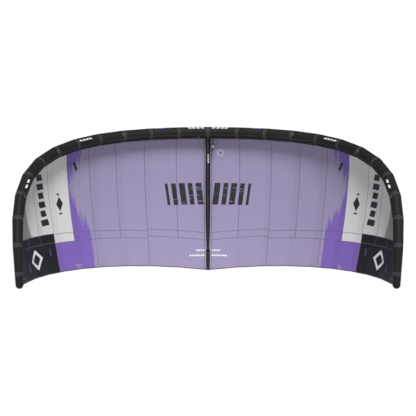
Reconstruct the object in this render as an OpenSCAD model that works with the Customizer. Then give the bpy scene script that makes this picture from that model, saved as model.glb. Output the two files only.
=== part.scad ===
// Single-strut kite with an inflated leading edge.
// Origin: axis of the leading-edge tube at mid-span. +X runs along the span,
// +Z from the trailing edge to the leading edge, -Y towards the rider.

/* [Leading edge] */
// Length of the first facet of the tube, at mid-span
facet_first = 470; // [380:5:500]
// Length of the last facet, by the tip piece
facet_last = 382; // [320:5:410]
// Length of the rounded tip piece
tip_len = 205; // [170:5:240]
// Angle that the arc turns through from mid-span to tip
arc_angle = 113.6; // [95:0.2:118]
// How much faster the tube turns from half-way out (degrees per half-length)
arc_out = 7.7; // [-20:0.1:20]
// How much faster it turns over the last quarter (degrees per half-length)
arc_last = -29; // [-40:0.5:20]
// Angle that the tube sweeps back by at the tip
sweep_angle = 82.7; // [70:0.1:89]
// Extra downward slope near the middle (degrees)
sweep_early = 4.4; // [0:0.1:8]
// Extra downward slope near the tip (degrees)
sweep_late = 19.8; // [0:0.1:24]
// How late the sweep comes in
sweep_power = 2.96; // [2.5:0.02:3.3]
// Tube radius at mid-span
le_r = 91; // [75:1:105]
// Tube radius at the tip
tip_r = 54; // [46:1:68]
// How late the tube tapers
taper_power = 4.5; // [3.5:0.1:7]
// Wall of the sewn casings
casing_wall = 1.5; // [1:0.1:2.5]
// Wall of the air bladders
bladder_wall = 1; // [0.6:0.1:1.5]

/* [Canopy] */
// Distance from the tube's axis down to the trailing edge at mid-span
centre_chord = 2165; // [1800:5:2400]
// How far the trailing edge rises between mid-span and tip
te_rise = 350; // [250:1:420]
// Extra depth of the trailing edge at mid-span
te_bow = 38; // [0:1:80]
// Camber depth as a share of the chord
camber_depth = 0.028; // [0.01:0.001:0.06]
// Angle that the mid-span section leans towards the rider
lean_centre = 6.2; // [0:0.1:8]
// Extra lean at the tip
lean_tip = 1.7; // [0:0.1:12]
// Thickness of each cloth panel
cloth_t = 2; // [1:0.1:3]
// Gap at each sewn joint
seam_gap = 0.5; // [0.3:0.1:1]
// Half width of the band that the strut is sewn to
band_half = 60; // [45:1:80]
// Height of the tape folded over the trailing edge
hem_h = 12; // [8:1:20]

/* [Strut] */
// Strut radius at the leading edge
strut_r = 41; // [32:1:50]
// Strut radius at its tail
strut_tail_r = 18; // [14:1:24]
// Distance from the leading-edge axis to the strut's tail
strut_len = 1870; // [1500:5:1950]
// Largest gap between strut and canopy
strut_gap = 30; // [15:1:45]

/* [Inflation valve] */
// Distance of the valve from mid-span
valve_x = 160; // [130:1:220]
// Angle of the valve below the rider-side face of the tube
valve_tilt = 52; // [40:1:65]
// Bore radius of the valve neck
valve_bore_r = 15.5; // [12:0.1:17]
// Wall of the valve neck
valve_wall = 5; // [3:0.1:6]
// How far the neck stands out of the casing
valve_out = 12; // [8:1:18]

/* [Hose and clip] */
// Outer radius of the strut's inflation hose
hose_r = 8; // [6:0.5:9]
// Clearance between hose and clip
hose_clear = 0.3; // [0.2:0.1:0.6]

/* [Leash point] */
// Distance of the leash patch from mid-span
leash_x = 197; // [180:1:260]
// Distance of the leash patch below the tube's axis
leash_drop = 328; // [300:1:420]
// Radius of the leash patch
leash_patch_r = 66; // [50:1:75]
// Wire radius of the leash ring
ring_wire_r = 2.2; // [1.8:0.1:3]

/* [Closure] */
// Length of the casing's zip closure
zip_len = 150; // [110:5:180]
// Width of the zip closure
zip_w = 24; // [18:1:30]

/* [Line loops] */
// Radius of the hole in each webbing loop
loop_bore_r = 5; // [4:0.5:6]
// Wall of each webbing loop
loop_wall = 2; // [1.5:0.1:3]
// Width of the webbing
loop_w = 24; // [16:1:30]

/* [Hidden] */
$fn = 64;

lilac = [0.59, 0.55, 0.71];
white = [0.82, 0.82, 0.83];
slate = [0.16, 0.17, 0.2];

// Facets of the tube on each side, before the tip piece
facets = 12;
links = facets + 1;

function flen(i) = i < facets ? facet_first + (facet_last - facet_first) * i / (facets - 1) : tip_len;
function total(v, n) = n == 0 ? 0 * v[0] : total(v, n - 1) + v[n - 1];

LEN = [for (i = [0:links - 1]) flen(i)];
S = [for (i = [0:links]) total(LEN, i)];
half_len = S[links];
T = [for (i = [0:links - 1]) (S[i] + S[i + 1]) / 2 / half_len];
TH = [for (t = T) arc_angle * t + arc_out * max(0, t - 0.5) + arc_last * max(0, t - 0.75)];
SG = [for (t = T) sweep_angle * pow(t, sweep_power) + sweep_early * t * (1 - t)
    + sweep_late * max(0, t - 0.6)];
DIR = [for (i = [0:links - 1])
    [cos(TH[i]) * cos(SG[i]), -sin(TH[i]) * cos(SG[i]), -sin(SG[i])]];
STEP = [for (i = [0:links - 1]) LEN[i] * DIR[i]];
P = [for (i = [0:links]) total(STEP, i)];
QSTEP = [for (i = [0:links - 1]) LEN[i] * cos(SG[i])];
Q = [for (i = [0:links]) total(QSTEP, i)];
q_end = Q[links];
R = [for (i = [0:links]) le_r + (tip_r - le_r) * pow(S[i] / half_len, taper_power)];
// Mitre plane at each joint between facets
MITRE = [for (i = [0:links])
    i == 0 ? [1, 0, 0] : i == links ? DIR[links - 1] : unit(DIR[i - 1] + DIR[i])];

function unit(v) = v / norm(v);

// Tables over the distance q along the arc, measured square to the chord
X_AT = [for (i = [0:links]) [Q[i], P[i].x]];
Y_AT = [for (i = [0:links]) [Q[i], P[i].y]];
Z_AT = [for (i = [0:links]) [Q[i], P[i].z]];
R_AT = [for (i = [0:links]) [Q[i], R[i]]];
A_AT = concat([[0, 0]], [for (i = [0:links - 1]) [(Q[i] + Q[i + 1]) / 2, TH[i]]]);

// The cloth leaves the tube tangentially, on its outer side
tangent_in = 0.6;
tangent_down = 0.8;
cloth_clear = 3.4;

function te_z(q) = -centre_chord + te_rise * pow(q / q_end, 1.008)
    - te_bow * pow(max(0, 1 - q / 2500), 2);
function below_tube(i, q) =
    let (f = (q - Q[i]) / QSTEP[i],
         za = P[i].z - (tangent_down * R[i] + cloth_clear) / cos(SG[i]),
         zb = P[i + 1].z - (tangent_down * R[i + 1] + cloth_clear) / cos(SG[i]))
    za + (zb - za) * f;
function top_z(q) = min([for (i = [0:links - 1]) below_tube(i, q)]);
function camber(c) = 4 * c * (1 - c) * (1.35 - 0.7 * c);
// Distance of the cloth from the tube's axis, along the outward normal
function cloth_out(q, z) =
    let (drop = max(0, top_z(q) - z),
         chord = max(top_z(q) - te_z(q), 20),
         c = min(1, max(0, drop / chord)),
         lean = lean_centre + lean_tip * pow(q / q_end, 2))
    tangent_in * lookup(q, R_AT) + camber_depth * chord * camber(c) - tan(lean) * drop;
// Point on the canopy, with off measured towards the outer face; negative q is the left side
function cloth(q, z, off) =
    let (a = lookup(abs(q), A_AT), w = cloth_out(abs(q), z) + off,
         x = lookup(abs(q), X_AT) + w * sin(a), y = lookup(abs(q), Y_AT) + w * cos(a))
    [q < 0 ? -x : x, y, z];

// Seams along the chord, and the height of the cross seam above the trailing edge in each bay
SEAM = [0, 501, 1014, 1494, 1974, 2402, 2844, 3222];
CROSS = [587, 562, 570, 581];
// Where the cloth runs out against the tube, above the cross seam and at the trailing edge
tip_top_q = max([for (k = [0:300]) let (q = q_end - 20 - 4 * k)
    if (top_z(q) > te_z(q) + CROSS[3] + 25) q]);
tip_end_q = max([for (k = [0:300]) let (q = q_end - 20 - 4 * k)
    if (top_z(q) > te_z(q) + hem_h + 25) q]);

// Columns from qa to qb, with one on every joint of the tube between them
function columns(qa, qb) =
    let (m = concat([qa], [for (k = Q) if (k > qa + 25 && k < qb - 25) k], [qb]))
    concat([for (j = [0:len(m) - 2]) each [m[j], (m[j] + m[j + 1]) / 2]], [qb]);

// Closed sheet over the columns qs, from height hi(q) down to lo(q), between two offsets
module sheet(qs, hi, lo, rows, off_a, off_b) {
    n = len(qs);
    m = rows + 1;
    pts = [for (off = [off_a, off_b], q = qs, j = [0:rows])
        cloth(q, hi(q) + (lo(q) - hi(q)) * j / rows, off)];
    front = [for (i = [0:n - 2], j = [0:rows - 1])
        let (a = i * m + j, b = a + m) each [[a, b, b + 1], [a, b + 1, a + 1]]];
    back = [for (f = front) [f[2] + n * m, f[1] + n * m, f[0] + n * m]];
    rim = concat(
        [for (i = [0:n - 1]) i * m],
        [for (j = [1:rows]) (n - 1) * m + j],
        [for (i = [n - 2:-1:0]) i * m + rows],
        [for (j = [rows - 1:-1:1]) j]);
    sides = [for (k = [0:len(rim) - 1])
        let (a = rim[k], b = rim[(k + 1) % len(rim)])
        each [[a, a + n * m, b + n * m], [a, b + n * m, b]]];
    polyhedron(points = pts, faces = concat(front, back, sides), convexity = 6);
}

module left() {
    mirror([1, 0, 0]) children();
}

// Upper panel k of one side, between two seams, down to the cross seam of its bay
module upper_panel(k) {
    qa = k == 1 ? band_half : SEAM[k - 1];
    qb = k == 8 ? tip_top_q : SEAM[k];
    sheet(columns(qa + seam_gap / 2, qb - seam_gap / 2), function (q) top_z(q),
        function (q) te_z(q) + CROSS[min(3, floor((k - 1) / 2))] + seam_gap / 2, 12,
        -cloth_t / 2, cloth_t / 2);
}

// Lower panel k of one side, from the cross seam to the tape on the trailing edge
module lower_panel(k) {
    qa = k == 1 ? band_half : SEAM[2 * k - 2];
    qb = k == 4 ? tip_end_q : SEAM[2 * k];
    sheet(columns(qa + seam_gap / 2, qb - seam_gap / 2),
        function (q) min(te_z(q) + CROSS[k - 1] - seam_gap / 2, top_z(q)),
        function (q) te_z(q) + hem_h + seam_gap / 2, 4, -cloth_t / 2, cloth_t / 2);
}

module canopy_centre_band() {
    color([0.6, 0.55, 0.72])
        sheet([for (k = [-4:4]) k * (band_half - seam_gap / 2) / 4], function (q) top_z(abs(q)),
            function (q) te_z(abs(q)) + hem_h + seam_gap / 2, 16, -cloth_t / 2, cloth_t / 2);
}

// Tape folded over the trailing edge from tip to tip
module trailing_edge_tape() {
    half = columns(0, tip_end_q);
    n = len(half);
    color([0.2, 0.19, 0.23])
        sheet(concat([for (k = [n - 1:-1:1]) -half[k]], half), function (q) te_z(abs(q)) + hem_h,
            function (q) te_z(abs(q)), 1, -cloth_t / 2 - 0.5, cloth_t / 2 + 0.5);
}

// Stand Z along d at point p
module along(p, d) {
    translate(p) rotate([0, acos(d.z), atan2(d.y, d.x)]) children();
}

// Cone from pa to pb, cut off at the planes through its ends with normals na and nb
module mitred(pa, pb, ra, rb, na, nb) {
    l = norm(pb - pa);
    d = (pb - pa) / l;
    more = 30;
    grow = (rb - ra) / l * more;
    difference() {
        along(pa, d) translate([0, 0, -more]) cylinder(h = l + 2 * more, r1 = ra - grow, r2 = rb + grow);
        along(pa, -na) translate([-250, -250, 0]) cube([500, 500, 120]);
        along(pb, nb) translate([-250, -250, 0]) cube([500, 500, 120]);
    }
}

// Facets ia to ib of the tube, grown by g, with its two ends moved in by trim
module facet_run(ia, ib, g, trim) {
    for (i = [ia:ib])
        mitred(P[i] + (i == ia ? trim : 0) * MITRE[i], P[i + 1] - (i == ib ? trim : 0) * MITRE[i + 1],
            R[i] + g, R[i + 1] + g, MITRE[i], MITRE[i + 1]);
}

// Sewn casing over one facet
module le_facet(i) {
    difference() {
        mitred(P[i] + seam_gap / 4 * MITRE[i], P[i + 1] - seam_gap / 4 * MITRE[i + 1], R[i], R[i + 1],
            MITRE[i], MITRE[i + 1]);
        along(P[i], DIR[i]) translate([0, 0, -40])
            cylinder(h = LEN[i] + 80, r1 = R[i] - casing_wall - (R[i + 1] - R[i]) * 40 / LEN[i],
                r2 = R[i + 1] - casing_wall + (R[i + 1] - R[i]) * 40 / LEN[i]);
    }
}

// Two neighbouring facets, less any hole through the first
module le_panel(k) {
    color([0.15, 0.15, 0.16]) {
        difference() {
            le_facet(2 * k - 2);
            children();
        }
        le_facet(2 * k - 1);
    }
}

// Rounded end of the tube
module tip_solid(g, trim) {
    u = DIR[links - 1];
    c = P[links] - R[links] * u;
    lat = [0, 14, 28, 42, 56, 68, 78, 85];
    swept(concat([P[facets] + trim * MITRE[facets]], [for (a = lat) c + (R[links] + g) * sin(a) * u]),
        concat([MITRE[facets]], [for (a = lat) u]),
        concat([R[facets] + g], [for (a = lat) (R[links] + g) * cos(a)]), 32, [1, 0, 0]);
}

module le_tip() {
    color([0.13, 0.13, 0.14]) difference() {
        tip_solid(0, seam_gap / 4);
        tip_solid(-casing_wall, -seam_gap);
    }
}

// Frame on the tube: Z points out of it at an angle below the rider's side, X runs to the tip
module on_tube(i, dist, below) {
    r = R[i] + (R[i + 1] - R[i]) * dist / LEN[i];
    translate(P[i] + dist * DIR[i]) multmatrix([
        [DIR[i].x, cos(TH[i]) * sin(SG[i]), -sin(TH[i]), 0],
        [DIR[i].y, -sin(TH[i]) * sin(SG[i]), -cos(TH[i]), 0],
        [DIR[i].z, cos(SG[i]), 0, 0],
        [0, 0, 0, 1]]) rotate([below, 0, 0]) translate([0, 0, r]) children();
}

// Frame on the canopy: Z points towards the rider, X runs to the tip, Y runs up the cloth
module on_cloth(q, z, off) {
    u = unit(cloth(q + 20, z, off) - cloth(q - 20, z, off));
    v = unit(cloth(q, z + 20, off) - cloth(q, z - 20, off));
    n = unit(cross(u, v));
    w = cross(n, u);
    translate(cloth(q, z, off)) multmatrix([
        [u.x, w.x, n.x, 0], [u.y, w.y, n.y, 0], [u.z, w.z, n.z, 0], [0, 0, 0, 1]]) children();
}

// Closed tube with flat ends: a ring of the given radius round each centre, square to its direction
module swept(centres, dirs, radii, sides, ref) {
    m = len(centres);
    pts = [for (i = [0:m - 1]) let (t = dirs[i], u = unit(cross(t, ref)), v = cross(u, t))
        each [for (k = [0:sides - 1])
            centres[i] + radii[i] * (cos(360 * k / sides) * u + sin(360 * k / sides) * v)]];
    polyhedron(points = pts, convexity = 8, faces = concat(
        [[for (k = [sides - 1:-1:0]) k], [for (k = [0:sides - 1]) (m - 1) * sides + k]],
        [for (i = [0:m - 2], k = [0:sides - 1])
            let (a = i * sides + k, b = i * sides + (k + 1) % sides)
            each [[a, b + sides, a + sides], [a, b, b + sides]]]));
}

// Outline of the leading-edge bladder, drawn in by g
module bladder_solid(g) {
    slack = casing_wall + 1.2 + g;
    tip = P[links] - R[links] * DIR[links - 1];
    c = concat([for (i = [0:facets]) P[i]], [tip, tip + (0.6 * R[links] - g) * DIR[links - 1]]);
    d = concat([for (i = [0:facets]) MITRE[i]], [DIR[links - 1], DIR[links - 1]]);
    r = concat([for (i = [0:facets]) R[i] - slack], [R[links] - slack, 0.75 * (R[links] - slack)]);
    n = len(c);
    swept(concat([for (k = [n - 1:-1:1]) [-c[k].x, c[k].y, c[k].z]], c),
        concat([for (k = [n - 1:-1:1]) [d[k].x, -d[k].y, -d[k].z]], d),
        concat([for (k = [n - 1:-1:1]) r[k]], r), 16, [0, 0, 1]);
}

// Air bladder of the leading edge, open where the valve and the hose fitting are bonded in
module le_bladder() {
    color([0.85, 0.86, 0.9, 0.6]) difference() {
        bladder_solid(0);
        bladder_solid(bladder_wall);
        valve_place() {
            translate([0, 0, valve_seat - 2.5]) cylinder(h = 60, r = valve_flange_r + 1);
            translate([0, 0, valve_seat - 42]) cylinder(h = 60, r = valve_bore_r + valve_wall + 1);
        }
        fitting_place() translate([0, 0, -7]) cylinder(h = 40, r = fitting_flange_r + 1);
    }
}

// Strut stations: height and radius
STRUT = [
    [0, strut_r], [-300, strut_r * 0.84], [-0.45 * strut_len, strut_r * 0.85],
    [-0.73 * strut_len, strut_r * 0.8], [-0.88 * strut_len, strut_r * 0.62], [-strut_len, strut_tail_r]
];
// The strut's axis keeps a gap from the canopy that is widest at the middle
function strut_y(z, r) =
    let (c = pow(min(1, -z / strut_len), 1.2))
    cloth_out(0, z) - cloth_t / 2 - r - 3 - (strut_gap - 3) * 4 * c * (1 - c);
SP = [for (s = STRUT) [0, strut_y(s[0], s[1]), s[0]]];
SN = [for (i = [0:len(SP) - 1])
    i == 0 ? unit(SP[1] - SP[0]) : i == len(SP) - 1 ? unit(SP[i] - SP[i - 1])
    : unit(unit(SP[i] - SP[i - 1]) + unit(SP[i + 1] - SP[i]))];
STRUT_Y = [for (p = SP) [-p.z, p.y]];
STRUT_R = [for (s = STRUT) [-s[0], s[1]]];
hose_z = 290;
hose_y = lookup(hose_z, STRUT_Y);
hose_x = lookup(hose_z, STRUT_R);

// Outline of the strut, grown by g and short of its tail by tail
module strut_form(g, tail) {
    n = len(SP) - 1;
    swept([for (i = [0:n]) SP[i] - (i == n ? tail : 0) * SN[n]], SN, [for (q = STRUT) q[1] + g], 32,
        [cos(5.625), sin(5.625), 0]);
}

// The same, cut to sit on the tube
module strut_solid(g, tail) {
    difference() {
        strut_form(g, tail);
        facet_run(0, 0, seam_gap, -seam_gap);
        left() facet_run(0, 0, seam_gap, -seam_gap);
    }
}

module strut_casing() {
    color([0.13, 0.13, 0.14]) difference() {
        strut_solid(0, 0);
        strut_form(-casing_wall, casing_wall);
        translate([0, hose_y, -hose_z]) rotate([0, 90, 0]) cylinder(h = 80, r = hose_r + 0.5);
    }
}

module strut_bladder() {
    color([0.85, 0.86, 0.9, 0.6]) difference() {
        strut_solid(-casing_wall - 1, casing_wall + 2);
        strut_form(-casing_wall - 1 - bladder_wall, casing_wall + 2 + bladder_wall);
        translate([hose_x - 9, hose_y, -hose_z]) rotate([0, 90, 0]) cylinder(h = 60, r = 13);
    }
}

// Fin of cloth between strut and canopy
web_top = 110;
WEB_Z = concat([for (k = [0:2]) -web_top + (web_top - 300) * k / 3],
    [for (i = [1:len(STRUT) - 2], k = [0:3]) STRUT[i][0] + (STRUT[i + 1][0] - STRUT[i][0]) * k / 4],
    [-strut_len]);
module strut_web() {
    n = len(WEB_Z);
    color([0.14, 0.14, 0.16]) rotate([90, 0, 90]) linear_extrude(height = 2, center = true)
        polygon(concat([for (z = WEB_Z) [cloth_out(0, z) - cloth_t / 2 - 0.6, z]],
            [for (k = [n - 1:-1:0]) let (z = WEB_Z[k]) [lookup(-z, STRUT_Y) + lookup(-z, STRUT_R) + 0.7, z]]));
}

// Cloth patch between the strut's tail and the trailing edge
module strut_tail_patch() {
    color([0.12, 0.12, 0.13]) sheet([-32, -16, 0, 16, 32], function (q) -strut_len - 4,
        function (q) te_z(abs(q)) + hem_h + 1, 4, -cloth_t / 2 - 2.3, -cloth_t / 2 - 0.4);
}

// Valve: Z points out of the tube, with the casing's outer face at 0
valve_r = valve_bore_r + valve_wall;
valve_flange_r = 30;
valve_seat = sqrt(pow(le_r - casing_wall, 2) - pow(valve_flange_r, 2)) - le_r - 0.6;
valve_hinge_y = valve_r + 4;
module valve_place() {
    left() on_tube(0, valve_x, valve_tilt) children();
}

module valve_base() {
    color([0.08, 0.08, 0.09]) valve_place() difference() {
        union() {
            translate([0, 0, valve_seat - 2]) cylinder(h = 2, r = valve_flange_r);
            translate([0, 0, valve_seat - 2]) cylinder(h = 2 - valve_seat + valve_out, r = valve_r);
            for (s = [-7, 7])
                translate([s - 1.5, valve_r - 2, valve_out - 6]) cube([3, 9, 5]);
        }
        translate([0, 0, valve_seat - 3]) cylinder(h = 60, r = valve_bore_r);
        translate([-20, valve_hinge_y, valve_out - 3.5]) rotate([0, 90, 0]) cylinder(h = 40, r = 1.05);
    }
}

// Snap-on cap with its hinge pin
module valve_cap() {
    color([0.1, 0.1, 0.11]) valve_place() difference() {
        union() {
            translate([0, 0, valve_out + 0.3]) cylinder(h = 3.5, r = valve_r);
            translate([0, 0, valve_out - 2]) cylinder(h = 4, r1 = valve_bore_r - 1.5, r2 = valve_bore_r - 0.8);
            translate([-4.5, valve_r - 2, valve_out + 0.3]) cube([9, 8, 3]);
            translate([-4.5, valve_hinge_y - 2, valve_out - 5.5]) cube([9, 4, 7]);
            translate([-9, valve_hinge_y, valve_out - 3.5]) rotate([0, 90, 0]) cylinder(h = 18, r = 1);
        }
        translate([0, 0, valve_out - 5]) cylinder(h = 6, r = valve_bore_r - 3);
    }
}

// Soft disc that air pressure holds against the neck from inside
module valve_flap() {
    color([0.75, 0.76, 0.78]) valve_place() translate([0, 0, valve_seat - 3.6])
        cylinder(h = 1.4, r = valve_bore_r + 2);
}

// Hose fittings: Z points out of the tube, with the casing's outer face at 0
fitting_flange_r = 18;
fitting_x = 97;
fitting_tilt = 60;
fitting_out = 12;
module fitting_place() {
    on_tube(0, fitting_x, fitting_tilt) children();
}

module hose_fittings() {
    color([0.82, 0.83, 0.84]) {
        fitting_place() {
            translate([0, 0, -6]) cylinder(h = 2, r = fitting_flange_r);
            translate([0, 0, -6]) cylinder(h = 6 + fitting_out, r = hose_r);
        }
        translate([hose_x - 7, hose_y, -hose_z]) rotate([0, 90, 0]) {
            cylinder(h = 2, r = 12);
            cylinder(h = 17, r = hose_r);
        }
    }
}

// Hose route from the tube to the strut's side
on_tube_n = [
    -sin(TH[0]) * cos(fitting_tilt) - cos(TH[0]) * sin(SG[0]) * sin(fitting_tilt),
    -cos(TH[0]) * cos(fitting_tilt) + sin(TH[0]) * sin(SG[0]) * sin(fitting_tilt),
    -cos(SG[0]) * sin(fitting_tilt)];
fit_r = R[0] + (R[1] - R[0]) * fitting_x / LEN[0];
hose_start = P[0] + fitting_x * DIR[0] + (fit_r + fitting_out + 0.2) * on_tube_n;
hose_end = [hose_x + 10.2, hose_y, -hose_z];
clip_at = [80, -62, -215];
HOSE = [hose_start, hose_start + 12 * on_tube_n, [86, -67, -130], [81, -64, -165], [80, -62, -192],
    [80, -62, -238], [79, -50, -266], [76, -24, -286], [68, 2, -290],
    hose_end + [12, 0, 0], hose_end];

module hose() {
    n = len(HOSE) - 1;
    dirs = [for (i = [0:n])
        i == 0 ? on_tube_n : i == n ? [-1, 0, 0] : unit(HOSE[i + 1] - HOSE[i - 1])];
    color([0.16, 0.16, 0.17]) swept(HOSE, dirs, [for (p = HOSE) hose_r], 12, [0.3, 0.8, 0.5]);
}

// Pinch clip on the hose
clip_pin_r = 1.5;
clip_pin = [0, -15, -6];
module clip_body() {
    w = hose_r + 4;
    color([0.86, 0.87, 0.88]) translate(clip_at) difference() {
        union() {
            translate([-w, -w + 2, -15]) cube([2 * w, 2 * w - 4, 30]);
            for (s = [-8.5, 8.5])
                translate([s - 1.5, -19, -11]) cube([3, 12, 10]);
            translate(clip_pin + [-9, 0, 0]) rotate([0, 90, 0]) cylinder(h = 18, r = clip_pin_r);
        }
        translate([0, 0, -20]) cylinder(h = 40, r = hose_r + hose_clear);
        translate([-5, 0, -20]) cube([10, 30, 40]);
    }
}

module clip_lever() {
    color([0.9, 0.9, 0.91]) translate(clip_at + clip_pin) difference() {
        union() {
            translate([-6.7, 0, 0]) rotate([0, 90, 0]) cylinder(h = 13.4, r = 3.2);
            translate([-6.5, -1.6, 0]) cube([13, 3.2, 24]);
            translate([-6.5, -4, 20]) cube([13, 4, 4]);
        }
        translate([-10, 0, 0]) rotate([0, 90, 0]) cylinder(h = 20, r = clip_pin_r + 0.05);
    }
}

// Leash point: Z towards the rider, with the cloth patch's back at 0
ring_r = 15;
bar_up = 7.5;
module leash_place() {
    on_cloth(leash_x, -leash_drop, -cloth_t / 2 - 1.4) children();
}

module leash_patch() {
    color([0.68, 0.68, 0.72]) leash_place() difference() {
        union() {
            cylinder(h = 2, r = leash_patch_r);
            translate([-8, -7, 1]) cube([16, 14, 3]);
            translate([-8, 0, bar_up]) rotate([0, 90, 0]) cylinder(h = 16, r = 4.6);
            translate([-8, -4.6, 1]) cube([16, 9.2, bar_up - 1]);
        }
        translate([-20, 0, bar_up]) rotate([0, 90, 0]) cylinder(h = 40, r = ring_wire_r + 0.08);
    }
}

// D-shaped ring that hangs from the patch
module leash_ring() {
    color([0.62, 0.63, 0.65]) leash_place() translate([0, 0, bar_up]) {
        translate([-ring_r, 0, 0]) rotate([0, 90, 0]) cylinder(h = 2 * ring_r, r = ring_wire_r);
        rotate([0, 0, 180]) rotate_extrude(angle = 180) translate([ring_r, 0]) circle(r = ring_wire_r);
        for (s = [-1, 1])
            translate([s * ring_r, 0, 0]) sphere(r = ring_wire_r);
    }
}

// Zip closure on the casing and its slider
zip_x = 265;
zip_tilt = 76;
module zip_place() {
    on_tube(0, zip_x, zip_tilt) children();
}

module zip_closure() {
    color([0.24, 0.24, 0.25]) {
        intersection() {
            difference() {
                facet_run(0, 0, 2.05, -10);
                facet_run(0, 0, 0.05, -20);
            }
            zip_place() translate([-zip_len / 2, -zip_w / 2, -20]) cube([zip_len, zip_w, 40]);
        }
        zip_place() translate([-zip_len / 2, -1.5, 1.5]) cube([zip_len, 3, 3]);
    }
}

module zip_slider() {
    color([0.5, 0.5, 0.52]) zip_place() translate([-zip_len / 2 + 4, 0, 0]) difference() {
        translate([0, -5, 2.3]) cube([14, 10, 5]);
        translate([-1, -1.8, 0]) cube([20, 3.6, 4.8]);
    }
}

// Webbing loop on facet i of the tube, with a strap base that follows the casing
module line_loop(i, dist, below, turn) {
    r = loop_bore_r + loop_wall;
    rt = R[i] + (R[i + 1] - R[i]) * dist / LEN[i];
    half = 24 / rt * 180 / PI;
    color([0.3, 0.3, 0.31]) on_tube(i, dist, below) difference() {
        union() {
            translate([0, 0, -rt]) rotate([90, 0, 90]) linear_extrude(height = loop_w, center = true)
                polygon(concat(
                    [for (k = [-4:4]) (rt + 2) * [sin(k * half / 4), cos(k * half / 4)]],
                    [for (k = [4:-1:-4]) (rt + 0.5) * [sin(k * half / 4), cos(k * half / 4)]]));
            rotate([0, 0, turn]) {
                translate([-loop_w / 2, 0, r + 1]) rotate([0, 90, 0]) cylinder(h = loop_w, r = r);
                translate([-loop_w / 2, -r, 0.6]) cube([loop_w, 2 * r, 2]);
            }
        }
        rotate([0, 0, turn]) translate([-loop_w, 0, r + 1]) rotate([0, 90, 0])
            cylinder(h = 2 * loop_w, r = loop_bore_r);
    }
}

module bridle_loops() {
    for (i = [3, 6, 9])
        line_loop(i, 40, -25, 90);
}

module tip_loop() {
    line_loop(facets, 70, 0, 0);
}

le_panel(1) fitting_place() translate([0, 0, -20]) cylinder(h = 40, r = hose_r + 0.5);  // le_panel_1_right
le_panel(2);  // le_panel_2_right
le_panel(3);  // le_panel_3_right
le_panel(4);  // le_panel_4_right
le_panel(5);  // le_panel_5_right
le_panel(6);  // le_panel_6_right
le_tip();  // le_tip_right
left() le_panel(1) left() valve_place() translate([0, 0, -20]) cylinder(h = 40, r = valve_r + 0.5);  // le_panel_1_left
left() le_panel(2);  // le_panel_2_left
left() le_panel(3);  // le_panel_3_left
left() le_panel(4);  // le_panel_4_left
left() le_panel(5);  // le_panel_5_left
left() le_panel(6);  // le_panel_6_left
left() le_tip();  // le_tip_left
canopy_centre_band();
color(lilac) upper_panel(1);  // canopy_panel_1_right
color(lilac) upper_panel(2);  // canopy_panel_2_right
color(lilac) upper_panel(3);  // canopy_panel_3_right
color(lilac) upper_panel(4);  // canopy_panel_4_right
color(lilac) upper_panel(5);  // canopy_panel_5_right
color(white) upper_panel(6);  // canopy_panel_6_right
color(white) upper_panel(7);  // canopy_panel_7_right
color(white) upper_panel(8);  // canopy_panel_8_right
color(lilac) left() upper_panel(1);  // canopy_panel_1_left
color(lilac) left() upper_panel(2);  // canopy_panel_2_left
color(lilac) left() upper_panel(3);  // canopy_panel_3_left
color(lilac) left() upper_panel(4);  // canopy_panel_4_left
color(lilac) left() upper_panel(5);  // canopy_panel_5_left
color(white) left() upper_panel(6);  // canopy_panel_6_left
color(white) left() upper_panel(7);  // canopy_panel_7_left
color(white) left() upper_panel(8);  // canopy_panel_8_left
color(lilac) lower_panel(1);  // lower_panel_1_right
color(lilac) lower_panel(2);  // lower_panel_2_right
color(lilac) lower_panel(3);  // lower_panel_3_right
color(slate) lower_panel(4);  // tip_panel_right
color(lilac) left() lower_panel(1);  // lower_panel_1_left
color(lilac) left() lower_panel(2);  // lower_panel_2_left
color(lilac) left() lower_panel(3);  // lower_panel_3_left
color(slate) left() lower_panel(4);  // tip_panel_left
trailing_edge_tape();
le_bladder();
strut_casing();
strut_bladder();
strut_web();
strut_tail_patch();
valve_base();
valve_cap();
valve_flap();
hose();
hose_fittings();
clip_body();
clip_lever();
leash_patch();
leash_ring();
zip_closure();
zip_slider();
bridle_loops();  // bridle_loops_right
left() bridle_loops();  // bridle_loops_left
tip_loop();  // tip_loop_right
left() tip_loop();  // tip_loop_left
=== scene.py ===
import bpy
import numpy as np
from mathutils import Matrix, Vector


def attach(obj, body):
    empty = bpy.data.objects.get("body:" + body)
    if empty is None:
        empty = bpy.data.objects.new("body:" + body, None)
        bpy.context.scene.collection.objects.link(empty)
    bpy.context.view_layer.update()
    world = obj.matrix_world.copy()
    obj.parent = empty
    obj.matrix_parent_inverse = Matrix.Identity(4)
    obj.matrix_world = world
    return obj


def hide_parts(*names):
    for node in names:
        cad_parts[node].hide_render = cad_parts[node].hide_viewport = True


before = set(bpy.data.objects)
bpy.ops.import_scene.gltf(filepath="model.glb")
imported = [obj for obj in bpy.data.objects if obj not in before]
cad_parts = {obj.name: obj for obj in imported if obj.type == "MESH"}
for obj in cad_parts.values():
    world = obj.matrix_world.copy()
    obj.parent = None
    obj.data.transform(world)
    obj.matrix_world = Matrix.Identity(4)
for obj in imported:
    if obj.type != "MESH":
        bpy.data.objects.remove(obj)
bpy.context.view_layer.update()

# Camera: square to the kite's hollow side and ten degrees above it, 18 m away.
view_data = bpy.data.cameras.new("view")
view_data.lens = 96.7
view_data.sensor_width = 36.0
view_data.clip_end = 200.0
camera = bpy.data.objects.new("view", view_data)
camera.location = (0.0, -17.727, 1.908)
camera.rotation_euler = (Vector((0.0, 0.0, -1.218)) - camera.location).to_track_quat("-Z", "Y").to_euler()
bpy.context.scene.collection.objects.link(camera)
bpy.context.scene.camera = camera

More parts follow.
